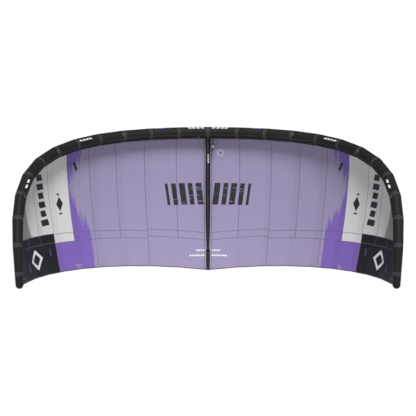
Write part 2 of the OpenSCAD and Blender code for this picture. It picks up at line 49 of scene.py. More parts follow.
# Studio: a plain pale floor far below the kite, a plain white surround that is softer overhead,
# and one broad lamp high in front, over the rider.
floor_mesh = bpy.data.meshes.new("floor")
floor_mesh.from_pydata([(-300, -300, -12), (300, -300, -12), (300, 300, -12), (-300, 300, -12)], [],
                       [(0, 1, 2, 3)])
floor = bpy.data.objects.new("floor", floor_mesh)
bpy.context.scene.collection.objects.link(floor)
floor_paint = bpy.data.materials.new("floor_paint")
floor_paint.use_nodes = True
tree = floor_paint.node_tree
tree.nodes["Principled BSDF"].inputs["Base Color"].default_value = (0.78, 0.78, 0.78, 1)
tree.nodes["Principled BSDF"].inputs["Roughness"].default_value = 0.95
floor_mesh.materials.append(floor_paint)
surround = bpy.data.worlds.new("surround")
surround.use_nodes = True
tree = surround.node_tree
way = tree.nodes.new("ShaderNodeSeparateXYZ")
tree.links.new(tree.nodes.new("ShaderNodeTexCoord").outputs["Generated"], way.inputs[0])
fade = tree.nodes.new("ShaderNodeMapRange")
for socket, number in ((1, 0.02), (2, 0.26), (3, 1.0), (4, 0.10)):
    fade.inputs[socket].default_value = number
tree.links.new(way.outputs[2], fade.inputs[0])
tree.links.new(fade.outputs[0], tree.nodes["Background"].inputs["Strength"])
tree.nodes["Background"].inputs["Color"].default_value = (1.0, 1.0, 1.0, 1)
bpy.context.scene.world = surround
bpy.context.scene.view_settings.view_transform = "Standard"
lamp_data = bpy.data.lights.new("key", "SUN")
lamp_data.energy = 4.4
lamp_data.angle = np.radians(20)
lamp = bpy.data.objects.new("key", lamp_data)
lamp.rotation_euler = (-Vector((0.06, -0.47, 0.88))).to_track_quat("-Z", "Y").to_euler()
bpy.context.scene.collection.objects.link(lamp)

# Leading-edge casing: black sailcloth sewn from twelve straight facets a side, blown up hard
# by the bladder inside. A double-stitched band goes round each joint, and one long felled
# seam runs from tip to tip on the rider's side.
FACETS, TIP = 12, 0.205
facet_len = np.append(0.470 + (0.382 - 0.470) * np.arange(FACETS) / (FACETS - 1), TIP)
along = np.concatenate([[0.0], np.cumsum(facet_len)])
half_len = along[-1]
mid = (along[:-1] + along[1:]) / 2 / half_len
turn = np.radians(113.6 * mid + 7.7 * np.maximum(0, mid - 0.5) - 29.0 * np.maximum(0, mid - 0.75))
sweep = np.radians(82.7 * mid ** 2.96 + 4.4 * mid * (1 - mid) + 19.8 * np.maximum(0, mid - 0.6))
facet_dir = np.stack([np.cos(turn) * np.cos(sweep), -np.sin(turn) * np.cos(sweep), -np.sin(sweep)], 1)
joint = np.concatenate([np.zeros((1, 3)), np.cumsum(facet_len[:, None] * facet_dir, 0)])
arc_q = np.concatenate([[0.0], np.cumsum(facet_len * np.cos(sweep))])
arc_end = arc_q[-1]
tube_r = 0.091 + (0.054 - 0.091) * (along / half_len) ** 4.5
mitre = np.vstack([[1.0, 0, 0], facet_dir[:-1] + facet_dir[1:], facet_dir[-1]])
mitre /= np.linalg.norm(mitre, axis=1)[:, None]


def tube_round(i, angle):
    """Unit vectors square to facet i: its front (towards the rider) turned up by each angle."""
    front = np.array([-np.sin(turn[i]), -np.cos(turn[i]), 0.0])
    up = np.array([np.cos(turn[i]) * np.sin(sweep[i]), -np.sin(turn[i]) * np.sin(sweep[i]),
                   np.cos(sweep[i])])
    return np.cos(angle)[..., None] * front + np.sin(angle)[..., None] * up


def joint_ring(i, angle):
    """Ring on the mitre plane at joint i: rays square to each neighbouring facet slide along
    that facet until they reach the plane, and the two results are averaged."""
    rings = []
    for k in (max(i - 1, 0), min(i, FACETS)):
        ray = tube_round(k, angle) * tube_r[i]
        rings.append(ray - (ray @ mitre[i] / (facet_dir[k] @ mitre[i]))[..., None] * facet_dir[k])
    return joint[i] + sum(rings) / 2


def skin(name, points, closed=False, flip=False, maps=None, values=None):
    """Mesh over a grid of points (rows, columns, 3). With closed, the last column joins the first.
    maps are UV layers given on (rows, columns + closed); values are numbers given on each point."""
    rows, cols = points.shape[:2]
    j = np.arange(cols if closed else cols - 1)
    a = (np.arange(rows - 1)[:, None] * cols + j[None]).ravel()
    b = (np.arange(rows - 1)[:, None] * cols + ((j + 1) % cols)[None]).ravel()
    faces = np.stack([a, b, b + cols, a + cols], 1)
    wide = cols + (1 if closed else 0)
    ua = (np.arange(rows - 1)[:, None] * wide + j[None]).ravel()
    corners = np.stack([ua, ua + 1, ua + 1 + wide, ua + wide], 1)
    if flip:
        faces, corners = faces[:, ::-1], corners[:, ::-1]
    mesh = bpy.data.meshes.new(name)
    mesh.from_pydata(points.reshape(-1, 3).tolist(), [], faces.tolist())
    for key, uv in (maps or {}).items():
        layer = mesh.uv_layers.new(name=key)
        layer.data.foreach_set("uv", uv.reshape(-1, 2)[corners.ravel()].astype(np.float32).ravel())
    for key, number in (values or {}).items():
        mesh.attributes.new(key, "FLOAT", "POINT").data.foreach_set("value",
            number.astype(np.float32).ravel())
    mesh.polygons.foreach_set("use_smooth", np.ones(len(mesh.polygons), bool))
    piece = bpy.data.objects.new(name, mesh)
    bpy.context.scene.collection.objects.link(piece)
    return piece


def put(tree, kind, sockets=None, **settings):
    """Adds one node, sets its settings, and links or fills its sockets."""
    added = tree.nodes.new(kind)
    for key, setting in settings.items():
        setattr(added, key, setting)
    for key, source in (sockets or {}).items():
        if isinstance(source, bpy.types.NodeSocket):
            tree.links.new(source, added.inputs[key])
        else:
            added.inputs[key].default_value = source
    return added


def sums(tree, operation, *numbers):
    """One Math node; returns its output."""
    return put(tree, "ShaderNodeMath", dict(enumerate(numbers)), operation=operation).outputs[0]


def blend(tree, share, first, second):
    """Mixes two colours by share; returns the output."""
    return put(tree, "ShaderNodeMix", {0: share, 6: first, 7: second}, data_type="RGBA").outputs[2]


def line(tree, distance, half, soft=0.001):
    """1 within half of a line, fading to 0 over soft."""
    away = sums(tree, "ABSOLUTE", distance)
    return put(tree, "ShaderNodeMapRange", {0: away, 1: half, 2: half + soft, 3: 1.0, 4: 0.0}).outputs[0]


def over(tree, number, edge, soft=0.001):
    """0 below edge and 1 above it, over a width of soft."""
    return put(tree, "ShaderNodeMapRange", {0: number, 1: edge, 2: edge + soft, 3: 0.0, 4: 1.0}).outputs[0]


def finish(name):
    """New material; returns it, its tree and its shader."""
    made = bpy.data.materials.new(name)
    made.use_nodes = True
    return made, made.node_tree, made.node_tree.nodes["Principled BSDF"]


def weave(tree, uv, pitch):
    """Height of a plain weave on a UV map in metres: two sets of ribs that pass over each other."""
    parts = put(tree, "ShaderNodeSeparateXYZ", {0: uv})
    warp = sums(tree, "SINE", sums(tree, "MULTIPLY", parts.outputs[0], 2 * np.pi / pitch))
    weft = sums(tree, "SINE", sums(tree, "MULTIPLY", parts.outputs[1], 2 * np.pi / pitch))
    return sums(tree, "MULTIPLY", warp, weft)


def stripes(tree, number, pitch, edge):
    """1 where a sine of the given pitch stands above edge, and 0 elsewhere: stitches, teeth, threads."""
    wave = sums(tree, "SINE", sums(tree, "MULTIPLY", number, 2 * np.pi / pitch))
    return sums(tree, "GREATER_THAN", wave, edge)


def relief(tree, shader, height, strength, depth):
    """Bump from a height, at most depth metres deep."""
    bump = put(tree, "ShaderNodeBump", {"Height": height, "Strength": strength, "Distance": depth})
    tree.links.new(bump.outputs[0], shader.inputs["Normal"])


spin = np.linspace(0, 2 * np.pi, 48, endpoint=False)
near = np.array([0.0, 0.004, 0.010, 0.018, 0.027, 0.034, 0.050, 0.075, 0.11, 0.16])
rng = np.random.default_rng(7)
tube_rows, tube_s, tube_gap = [], [], []
for i in range(FACETS):
    start, stop = joint_ring(i, spin), joint_ring(i + 1, spin)
    share = np.unique(np.concatenate([near / facet_len[i], [0.5], 1 - near / facet_len[i]]))
    share = share[:-1]
    inward = joint[i] + share[:, None] * (joint[i + 1] - joint[i])
    ring = start + share[:, None, None] * (stop - start)
    gap = np.minimum(share, 1 - share) * facet_len[i]
    # The cloth draws in at the stitching and puckers on the side that the bend shortens
    pull = (0.0009 * np.exp(-((gap - 0.034) / 0.012) ** 2) - 0.0016 * np.exp(-(gap / 0.012) ** 2))[:, None]
    pucker = sum(rng.uniform(0.3, 1.0) * np.sin(n * spin + rng.uniform(0, 6.28)) for n in (9, 13, 17, 23))
    inside = 0.35 + 0.65 * np.clip(np.cos(spin), 0, 1)
    pull = pull + 0.0011 * np.exp(-(gap / 0.07) ** 2)[:, None] * pucker[None] * inside[None]
    out = ring - inward[:, None]
    out /= np.linalg.norm(out, axis=2)[..., None]
    tube_rows.append(ring + pull[..., None] * out)
    tube_s.append(along[i] + share * facet_len[i])
    tube_gap.append(gap)
# Rounded tip: the last straight length, which narrows to the dome, and then the dome
c_dome = joint[-1] - tube_r[-1] * facet_dir[-1]
start = joint_ring(FACETS, spin)
tip_share = np.append(near / TIP, 0.7)
for share in tip_share[tip_share < 0.72]:
    stop = c_dome + tube_r[-1] * tube_round(FACETS, spin)
    f = share / 0.73
    tube_rows.append((start + f * (stop - start))[None])
    tube_s.append([along[FACETS] + share * TIP])
    tube_gap.append([share * TIP])
for lat in np.radians([0, 12, 24, 36, 48, 60, 72, 82, 89]):
    dome_ring = np.cos(lat) * tube_round(FACETS, spin) + np.sin(lat) * facet_dir[-1]
    tube_rows.append((c_dome + tube_r[-1] * dome_ring)[None])
    tube_s.append([along[-1] - tube_r[-1] * (1 - np.sin(lat))])
    tube_gap.append([TIP - tube_r[-1] * (1 - np.sin(lat))])
right_rows = np.concatenate(tube_rows)
right_s, right_gap = np.concatenate(tube_s), np.concatenate(tube_gap)
rows = np.concatenate([right_rows[:0:-1] * np.array([-1, 1, 1]), right_rows])
tube_pos = np.concatenate([-right_s[:0:-1], right_s])
tube_joint = np.concatenate([right_gap[:0:-1], right_gap])
wrap = np.linspace(0, 1, 49)
casing = skin("leading_edge_casing", rows, closed=True, flip=True,
              maps={"cloth": np.stack(np.broadcast_arrays(tube_pos[:, None], wrap[None] * 0.54), 2)},
              values={"joint": np.repeat(tube_joint[:, None], 48, 1)})
sailcloth, tree, shader = finish("black_sailcloth")
uv = put(tree, "ShaderNodeUVMap", uv_map="cloth").outputs[0]
xyz = put(tree, "ShaderNodeSeparateXYZ", {0: uv})
gap = put(tree, "ShaderNodeAttribute", attribute_name="joint").outputs["Fac"]
band = line(tree, gap, 0.026, 0.002)
edge_stitch = sums(tree, "MAXIMUM", line(tree, sums(tree, "SUBTRACT", gap, 0.021), 0.0018),
                   line(tree, gap, 0.0022))
around = sums(tree, "SUBTRACT", xyz.outputs[1], 0.515)
long_stitch = sums(tree, "MAXIMUM", line(tree, sums(tree, "ADD", around, 0.007), 0.0014),
                   line(tree, sums(tree, "SUBTRACT", around, 0.007), 0.0014))
dash_u = stripes(tree, xyz.outputs[1], 0.006, -0.2)
dash_v = stripes(tree, xyz.outputs[0], 0.006, -0.2)
thread = sums(tree, "MAXIMUM", sums(tree, "MULTIPLY", edge_stitch, dash_u),
              sums(tree, "MULTIPLY", long_stitch, dash_v))
cloudy = put(tree, "ShaderNodeTexNoise", {"Scale": 3.0, "Detail": 5.0, "Roughness": 0.6}).outputs[0]
tone = blend(tree, cloudy, (0.0085, 0.0087, 0.0085, 1), (0.0140, 0.0144, 0.0140, 1))
tone = blend(tree, sums(tree, "MULTIPLY", band, 0.5), tone, (0.034, 0.035, 0.034, 1))
tone = blend(tree, thread, tone, (0.09, 0.09, 0.092, 1))
tree.links.new(tone, shader.inputs["Base Color"])
height = sums(tree, "ADD", sums(tree, "MULTIPLY", weave(tree, uv, 0.0016), 0.1),
              sums(tree, "ADD", sums(tree, "MULTIPLY", band, 0.8), thread))
height = sums(tree, "ADD", height, sums(tree, "MULTIPLY", line(tree, around, 0.012, 0.002), 0.6))
relief(tree, shader, height, 0.5, 0.001)
shader.inputs["Roughness"].default_value = 0.62
shader.inputs["Specular IOR Level"].default_value = 0.12
shader.inputs["Sheen Weight"].default_value = 0.02
shader.inputs["Sheen Roughness"].default_value = 0.4
casing.data.materials.append(sailcloth)
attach(casing, "kite")
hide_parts(*["le_panel_%d_%s" % (k, side) for k in range(1, 7) for side in ("right", "left")],
            "le_tip_right", "le_tip_left")

# Canopy: one skin of coated ripstop cloth, cut in tapered panels and sewn along the chord, with
# cross seams above the trailing edge. It leaves the tube at a tangent and cups towards the rider.
# Printed colour: lilac, a brushed violet edge, pale outer panels and near-black tips.
SEAMS = np.array([0.060, 0.501, 1.014, 1.494, 1.974, 2.402, 2.844, 3.222, 3.588])
MAIN_SEAMS = SEAMS[[0, 2, 4, 6]]
SHORT_SEAMS = SEAMS[[1, 3, 5, 7, 8]]
CENTRE_CHORD, EDGE_RISE, EDGE_DIP = 2.165, 0.350, 0.038
CAMBER, TUBE_GAP = 0.028, 0.0034
LEAN_MIDDLE, LEAN_TIP = 6.2, 1.7
CLOTH_T = 0.0012


def trailing(q):
    """Height of the trailing edge: a straight rise to the tip with a shallow dip in the middle."""
    return -CENTRE_CHORD + EDGE_RISE * (q / arc_end) ** 1.008 - EDGE_DIP * np.clip(1 - q / 2.5, 0, 1) ** 2


def under_tube(q, tuck=0.0):
    """Height where the cloth meets the tube: the lowest of the facets' lower lines at q, up by tuck."""
    high = joint[:-1, 2] - (0.8 * tube_r[:-1] + TUBE_GAP - tuck) / np.cos(sweep)
    low = joint[1:, 2] - (0.8 * tube_r[1:] + TUBE_GAP - tuck) / np.cos(sweep)
    return (high + (low - high) * (q[..., None] - arc_q[:-1]) / np.diff(arc_q)).min(-1)


reach = np.linspace(3.9, arc_end, 4000)
CLOTH_END = reach[under_tube(reach) > trailing(reach) + 0.030].max()


def on_canopy(q, z, off=0.0):
    """Point on the cloth at distance q along the arc (negative to the left) and height z. The cloth
    starts 0.6 of the tube's radius outside its axis, bows out by the camber curve
    4c(1-c)(1.35-0.7c) of 2.8% of the chord, and leans in by 6.2 to 7.9 degrees. off is outwards."""
    side, q = np.where(q < 0, -1.0, 1.0), np.abs(q)
    top = under_tube(q)
    drop, chord = np.maximum(top - z, 0), np.maximum(top - trailing(q), 0.02)
    c = np.clip(drop / chord, 0, 1)
    lean = np.radians(LEAN_MIDDLE + LEAN_TIP * (q / arc_end) ** 2)
    camber = CAMBER * chord * 4 * c * (1 - c) * (1.35 - 0.7 * c)
    out = 0.6 * np.interp(q, arc_q, tube_r) + camber - np.tan(lean) * drop + off
    a = np.interp(q, np.append(0, (arc_q[:-1] + arc_q[1:]) / 2), np.append(0, turn))
    return np.stack([side * (np.interp(q, arc_q, joint[:, 0]) + out * np.sin(a)),
                     np.interp(q, arc_q, joint[:, 1]) + out * np.cos(a), z + 0 * q], -1)


def slack(q, z):
    """How far the cloth stands off its plain shape: a half sine across each panel, fading at both
    ends of the chord, plus shallow wrinkles along the chord and a ripple at the trailing edge."""
    q = np.abs(q)
    place = np.clip(np.searchsorted(SEAMS, q, side="right"), 1, len(SEAMS) - 1)
    across = np.clip((q - SEAMS[place - 1]) / (SEAMS[place] - SEAMS[place - 1]), 0, 1)
    v = np.clip((under_tube(q) - z) / np.maximum(under_tube(q) - trailing(q), 0.05), 0, 1)
    puff = (0.006 * np.sin(np.pi * across) ** 0.8 * np.sin(np.pi * np.clip(v * 1.04, 0, 1)) ** 0.6
            * (q > 0.06))
    wrinkle = (0.0012 * np.sin(q * 61 + 5 * np.sin(z * 2.1 + q)) * np.clip(v * 8, 0, 1)
               * np.clip(1.2 - v, 0, 1))
    ripple = 0.004 * np.sin(q * 14.3) * np.exp(-(z - trailing(q)) / 0.06) * (q > 0.06)
    return puff + wrinkle + ripple


stops = np.unique(np.concatenate([[0.0], SEAMS, arc_q[1:FACETS],
                                  CLOTH_END - np.array([0.55, 0.4, 0.25, 0.14, 0.08, 0.04, 0.015, 0.0])]))
seam_gap = np.abs(stops[:, None] - SEAMS[None]).min(1)
stops = stops[(stops <= CLOTH_END) & ~((seam_gap > 0) & (seam_gap < 0.012))]
runs = [np.linspace(a, b, max(2, int(np.ceil((b - a) / 0.030)) + 1)) for a, b in zip(stops[:-1], stops[1:])]
cols_q = np.unique(np.concatenate(runs + [SEAMS - 0.004, SEAMS + 0.004]))
cols_q = np.concatenate([-cols_q[:0:-1], cols_q])
q = np.abs(cols_q)[:, None]
v = np.linspace(0, 1, 92)[None]
top, bottom = under_tube(np.abs(cols_q), 0.004)[:, None], trailing(np.abs(cols_q))[:, None]
z = top + (bottom - top) * v
bay = np.clip(np.searchsorted(MAIN_SEAMS[1:], np.abs(cols_q), side="right"), 0, 3)
cross_high = np.array([0.587, 0.562, 0.570, 0.581])[bay][:, None]
cross_low = np.array([0.476, 0.444, 0.437, 0.450])[bay][:, None]
flat_q = cols_q[:, None] + 0 * v
points = on_canopy(flat_q, z, slack(flat_q, z))
main_gap = np.abs(q - MAIN_SEAMS[None]).min(1)[:, None] + 0 * v
short_gap = np.abs(q - SHORT_SEAMS[None]).min(1)[:, None] + 0 * v


def brushed(q, h):
    """Height that is left above each point to the top of the violet brushwork by the trailing edge,
    and height of each point above the foot of the brushwork under the tube, in metres."""
    lower = np.interp(q, [2.01, 2.035, 2.06, 2.12, 2.20, 2.27, 2.31, 2.36, 2.402, 2.403],
                      [-1.0, 0.52, 0.66, 0.74, 0.80, 0.88, 1.02, 1.16, 1.26, 9.0]) - h
    upper = h - np.interp(q, [2.04, 2.10, 2.18, 2.27, 2.33, 2.402], [2.3, 1.78, 1.62, 1.50, 1.38, 1.24])
    return lower, upper


h = z - bottom
canopy = skin("canopy", points, flip=True,
              maps={"cloth": np.stack(np.broadcast_arrays(cols_q[:, None] + 0 * v, z), 2)},
              values={"high": h, "under": top - z, "main": main_gap, "short": short_gap, "arc": q + 0 * v,
                      "cross_a": h - cross_high, "cross_b": h - cross_low, "brush_low": brushed(q, h)[0],
                      "brush_high": brushed(q, h)[1],
                      "smoke": (q - np.interp(h, [0.5, 0.58, 1.05, 1.3], [3.40, 3.42, 3.50, 3.75]))})
ripstop, tree, shader = finish("printed_ripstop")
uv = put(tree, "ShaderNodeUVMap", uv_map="cloth").outputs[0]
xyz = put(tree, "ShaderNodeSeparateXYZ", {0: uv})


def reading(name):
    """A number stored on the cloth."""
    return put(tree, "ShaderNodeAttribute", attribute_name=name).outputs["Fac"]


arc, cross_a, cross_b, high, under = (reading("arc"), reading("cross_a"), reading("cross_b"),
                                      reading("high"), reading("under"))
streak_uv = put(tree, "ShaderNodeVectorMath", {0: uv, 1: (42.0, 1.3, 1.0)}, operation="MULTIPLY").outputs[0]
streaks = (put(tree, "ShaderNodeTexNoise",
               {"Vector": streak_uv, "Scale": 1.0, "Detail": 4.0, "Roughness": 0.7}).outputs[0])
ragged = sums(tree, "SUBTRACT", streaks, 0.5)
low = over(tree, sums(tree, "ADD", reading("brush_low"), sums(tree, "MULTIPLY", ragged, 1.1)), 0.0, 0.01)
low_side = over(tree, sums(tree, "ADD", arc, sums(tree, "MULTIPLY", ragged, 0.16)), 2.035, 0.006)
high_up = over(tree, sums(tree, "ADD", reading("brush_high"), sums(tree, "MULTIPLY", ragged, 1.3)), 0.0,
               0.01)
bare_uv = put(tree, "ShaderNodeVectorMath", {0: uv, 1: (24.0, 3.0, 1.0)}, operation="MULTIPLY").outputs[0]
bare = (put(tree, "ShaderNodeTexNoise", {"Vector": bare_uv, "Scale": 1.0, "Detail": 3.0, "W": 3.1},
            noise_dimensions="4D").outputs[0])
bare = sums(tree, "MULTIPLY", over(tree, bare, 0.53, 0.02),
            sums(tree, "MULTIPLY", line(tree, sums(tree, "SUBTRACT", arc, 2.40), 0.10),
                 sums(tree, "SUBTRACT", 1.0, over(tree, high, 0.085))))
violet = sums(tree, "MAXIMUM", sums(tree, "MULTIPLY", low, low_side), high_up)
violet = sums(tree, "MULTIPLY", violet, sums(tree, "SUBTRACT", 1.0, bare))
smoke = sums(tree, "MULTIPLY",
             over(tree, sums(tree, "ADD", reading("smoke"), sums(tree, "MULTIPLY", ragged, 0.16)), 0.0,
                  0.03), 0.9)
pale = sums(tree, "MULTIPLY", over(tree, arc, 2.402), over(tree, cross_b, 0.0))
tip_dark = sums(tree, "MULTIPLY", over(tree, arc, 2.844),
                sums(tree, "SUBTRACT", 1.0, over(tree, cross_a, 0.0)))
cloudy = put(tree, "ShaderNodeTexNoise", {"Scale": 1.3, "Detail": 4.0}).outputs[0]
colour = blend(tree, cloudy, (0.244, 0.208, 0.332, 1), (0.270, 0.231, 0.368, 1))
colour = blend(tree, violet, colour, (0.160, 0.096, 0.370, 1))
colour = blend(tree, pale, colour, blend(tree, smoke, (0.55, 0.545, 0.545, 1), (0.208, 0.214, 0.217, 1)))
colour = blend(tree, tip_dark, colour, (0.0085, 0.0092, 0.0112, 1))
short_on = sums(tree, "MULTIPLY", line(tree, reading("short"), 0.0055), over(tree, cross_b, 0.0))
seam = sums(tree, "MAXIMUM", line(tree, reading("main"), 0.0055), short_on)
seam = sums(tree, "MAXIMUM", seam,
            sums(tree, "MAXIMUM", line(tree, cross_a, 0.005), line(tree, cross_b, 0.005)))
nose_gap = sums(tree, "SUBTRACT", arc,
                put(tree, "ShaderNodeMapRange", {0: under, 1: 0.0, 2: 0.27, 3: 0.172, 4: 0.064},
                    interpolation_type="SMOOTHSTEP").outputs[0])
nose = sums(tree, "MULTIPLY", line(tree, nose_gap, 0.005),
            sums(tree, "SUBTRACT", 1.0, over(tree, under, 0.27)))
seam = sums(tree, "MAXIMUM", seam,
            sums(tree, "MAXIMUM", nose, line(tree, sums(tree, "SUBTRACT", under, 0.035), 0.004)))
stitch = sums(tree, "MULTIPLY", seam,
              stripes(tree, sums(tree, "ADD", xyz.outputs[0], xyz.outputs[1]), 0.005, 0.2))
dark_seam = (put(tree, "ShaderNodeMix",
                 {0: sums(tree, "MULTIPLY", seam, 0.62), 6: colour,
                  7: blend(tree, tip_dark, (0.05, 0.045, 0.075, 1), (0.055, 0.058, 0.066, 1))},
                  data_type="RGBA").outputs[2])
dark_seam = blend(tree, sums(tree, "MULTIPLY", stitch, 0.25), dark_seam, (0.35, 0.34, 0.4, 1))
grid = sums(tree, "MAXIMUM",
            stripes(tree, xyz.outputs[0], 0.005, 0.93),
            stripes(tree, xyz.outputs[1], 0.005, 0.93))
grid_share = sums(tree, "MULTIPLY", grid,
                  sums(tree, "SUBTRACT", 0.07, sums(tree, "MULTIPLY", tip_dark, 0.055)))
full = blend(tree, grid_share, dark_seam, (0.75, 0.72, 0.8, 1))
tree.links.new(full, shader.inputs["Base Color"])
height = sums(tree, "ADD", sums(tree, "MULTIPLY", grid, 0.5), sums(tree, "MULTIPLY", seam, 1.2))
crinkle = put(tree, "ShaderNodeTexNoise", {"Scale": 16.0, "Detail": 5.0, "Roughness": 0.55}).outputs[0]
height = sums(tree, "ADD", height, sums(tree, "MULTIPLY", crinkle, 3.0))
relief(tree, shader, height, 0.35, 0.0008)
shader.inputs["Roughness"].default_value = 0.52
shader.inputs["Specular IOR Level"].default_value = 0.12
shader.inputs["Sheen Weight"].default_value = 0.02
shader.inputs["Sheen Roughness"].default_value = 0.35
canopy.data.materials.append(ripstop)
thick = canopy.modifiers.new("thickness", "SOLIDIFY")
thick.thickness = CLOTH_T
thick.offset = 0.0
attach(canopy, "kite")
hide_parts("canopy_centre_band",
            *["canopy_panel_%d_%s" % (k, side) for k in range(1, 9) for side in ("right", "left")],
            *["lower_panel_%d_%s" % (k, side) for k in range(1, 4) for side in ("right", "left")],
            "tip_panel_right", "tip_panel_left")

# Trailing-edge tape: dark polyester tape folded over the cloth's edge and stitched through.
tape_q = np.concatenate([-np.linspace(0, CLOTH_END, 260)[:0:-1], np.linspace(0, CLOTH_END, 260)])
fold = np.linspace(0, 2 * np.pi, 12, endpoint=False)
tape_z = trailing(np.abs(tape_q))[:, None] + 0.0068 + 0.0062 * np.cos(fold)[None]
tape = skin("trailing_edge_tape_sewn",
            on_canopy(tape_q[:, None] + 0 * fold, tape_z,
                      0.0016 * np.sin(fold)[None] + slack(tape_q[:, None] + 0 * fold, tape_z)),
            closed=True, maps={"cloth": np.stack(np.broadcast_arrays(tape_q[:, None],
                np.linspace(0, 0.03, 13)[None]), 2)})
tape_cloth, tree, shader = finish("edge_tape")
uv = put(tree, "ShaderNodeUVMap", uv_map="cloth").outputs[0]
rib = weave(tree, uv, 0.0012)
wear = put(tree, "ShaderNodeTexNoise", {"Scale": 9.0, "Detail": 4.0}).outputs[0]
tree.links.new(blend(tree, wear, (0.022, 0.020, 0.030, 1), (0.045, 0.042, 0.055, 1)),
               shader.inputs["Base Color"])
relief(tree, shader, rib, 0.4, 0.0004)
shader.inputs["Roughness"].default_value = 0.7
shader.inputs["Sheen Weight"].default_value = 0.2
tape.data.materials.append(tape_cloth)
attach(tape, "kite")
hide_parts("trailing_edge_tape")

# Prints: thin ink screened on the rider's side of the cloth. They are plain bars, blocks and a
# diamond frame, each laid on the cloth's own curve and a hair in front of it.
def lay(name, shapes, put_on, ink):
    """Mesh of flat quads, each cut in an 8 by 8 grid by weighting its corners and laid on a surface
    by put_on. Corners are pairs, given in order round each shape."""
    u, w = np.meshgrid(np.linspace(0, 1, 9), np.linspace(0, 1, 9), indexing="ij")
    share = np.stack([(1 - u) * (1 - w), u * (1 - w), u * w, (1 - u) * w], -1)
    spots = np.einsum("abk,nkc->nabc", share, np.array(shapes, float))
    points = put_on(spots[..., 0], spots[..., 1])
    i, j = np.meshgrid(np.arange(8), np.arange(8), indexing="ij")
    cell = (i * 9 + j).ravel()
    quad = np.stack([cell, cell + 9, cell + 10, cell + 1], 1)
    faces = (quad[None] + 81 * np.arange(len(points))[:, None, None])
    flat = points.reshape(-1, 3)
    normal = np.cross(flat[faces[:, 0, 1]] - flat[faces[:, 0, 0]],
                      flat[faces[:, 0, 3]] - flat[faces[:, 0, 0]])
    faces[normal[:, 1] > 0] = faces[normal[:, 1] > 0][:, :, ::-1]
    mesh = bpy.data.meshes.new(name)
    mesh.from_pydata(flat.tolist(), [], faces.reshape(-1, 4).tolist())
    mesh.polygons.foreach_set("use_smooth", np.ones(len(mesh.polygons), bool))
    mesh.materials.append(ink)
    piece = bpy.data.objects.new(name, mesh)
    bpy.context.scene.collection.objects.link(piece)
    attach(piece, "kite")


def ink(name, colour, worn, worn_share, stretch):
    """Screen ink that is worn through in streaks: noise drawn out along one direction."""
    made, tree, shader = finish(name)
    place = put(tree, "ShaderNodeTexCoord").outputs["Object"]
    drawn = put(tree, "ShaderNodeVectorMath", {0: place, 1: stretch}, operation="MULTIPLY").outputs[0]
    noise = (put(tree, "ShaderNodeTexNoise",
                 {"Vector": drawn, "Scale": 1.0, "Detail": 5.0, "Roughness": 0.65}).outputs[0])
    gone = over(tree, noise, worn_share, 0.03)
    mottle = put(tree, "ShaderNodeTexNoise", {"Scale": 30.0, "Detail": 3.0}).outputs[0]
    tone = blend(tree, sums(tree, "MULTIPLY", mottle, 0.5), colour,
                 tuple(c * 1.35 for c in colour[:3]) + (1,))
    tree.links.new(blend(tree, gone, tone, worn), shader.inputs["Base Color"])
    relief(tree, shader, sums(tree, "ADD", mottle, gone), 0.2, 0.0003)
    shader.inputs["Roughness"].default_value = 0.5
    return made


def on_cloth(q, z):
    """Point on the rider's side of the cloth at distance q and height z, a hair in front of it."""
    return on_canopy(q, z, slack(q, z) - 0.0013)


def slanted(q, z, wide, tall, slant):
    """Corners of a bar centred on q and z whose top leans outwards by slant."""
    return [(q - wide / 2, z - tall / 2), (q + wide / 2, z - tall / 2),
            (q + wide / 2 + slant, z + tall / 2), (q - wide / 2 + slant, z + tall / 2)]


black_ink = ink("black_ink", (0.0075, 0.0075, 0.0085, 1), (0.22, 0.18, 0.36, 1), 0.60, (3.0, 3.0, 34.0))
solid_ink = ink("solid_black_ink", (0.0075, 0.0075, 0.0085, 1), (0.05, 0.05, 0.055, 1), 0.66,
                (5.0, 5.0, 12.0))
pale_ink = ink("pale_ink", (0.62, 0.62, 0.64, 1), (0.42, 0.41, 0.46, 1), 0.62, (20.0, 20.0, 20.0))
violet_ink = ink("violet_ink", (0.20, 0.11, 0.47, 1), (0.10, 0.07, 0.2, 1), 0.64, (20.0, 20.0, 20.0))
centre_bars = [slanted(side * q, -0.985, wide, 0.345, side * 0.04)
               for side in (-1, 1)
               for q, wide in ((0.115, 0.095), (0.250, 0.075), (0.380, 0.095), (0.515, 0.075),
                               (0.630, 0.045))]
lay("centre_bars_print", centre_bars, on_cloth, black_ink)
notes = [slanted(side * q, z, 0.028, 0.024, 0.004) for side in (-1, 1)
         for z, span in ((-1.885, 0.20), (-1.965, 0.34))
         for q in np.arange(0.075, span, 0.038)]
lay("small_dashes_print", notes, on_cloth, pale_ink)
blocks = [slanted(side * (3.035 - 0.05 * k / 6), -0.50 - 0.134 * k, wide, 0.092, side * 0.02)
          for side in (-1, 1) for k, wide in enumerate((0.13, 0.15, 0.12, 0.15, 0.12, 0.17))]
lay("outer_blocks_print", blocks, on_cloth, solid_ink)
emblem = [[(side * q, z) for q, z in ((2.61, -1.06), (2.68, -0.95), (2.61, -0.84), (2.54, -0.95))]
          for side in (-1, 1)]
emblem += [slanted(side * 2.615, -0.805, 0.045, 0.03, side * 0.02) for side in (-1, 1)]
emblem += [slanted(side * 2.61, -1.095, 0.07, 0.022, 0.0) for side in (-1, 1)]
emblem += [slanted(side * 2.205, -0.43, 0.05, 0.12, side * 0.05) for side in (-1, 1)]
lay("diamond_print", emblem, on_cloth, solid_ink)
corners = np.array([(0.0, -1.0), (1.0, 0.0), (0.0, 1.0), (-1.0, 0.0)])
frame_bars = [[(side * (3.42 + 0.185 * a[0]), -1.645 + 0.150 * a[1]),
               (side * (3.42 + 0.185 * b[0]), -1.645 + 0.150 * b[1]),
               (side * (3.42 + 0.112 * b[0]), -1.645 + 0.090 * b[1]),
               (side * (3.42 + 0.112 * a[0]), -1.645 + 0.090 * a[1])]
              for side in (-1, 1) for a, b in zip(corners, np.roll(corners, -1, 0))]
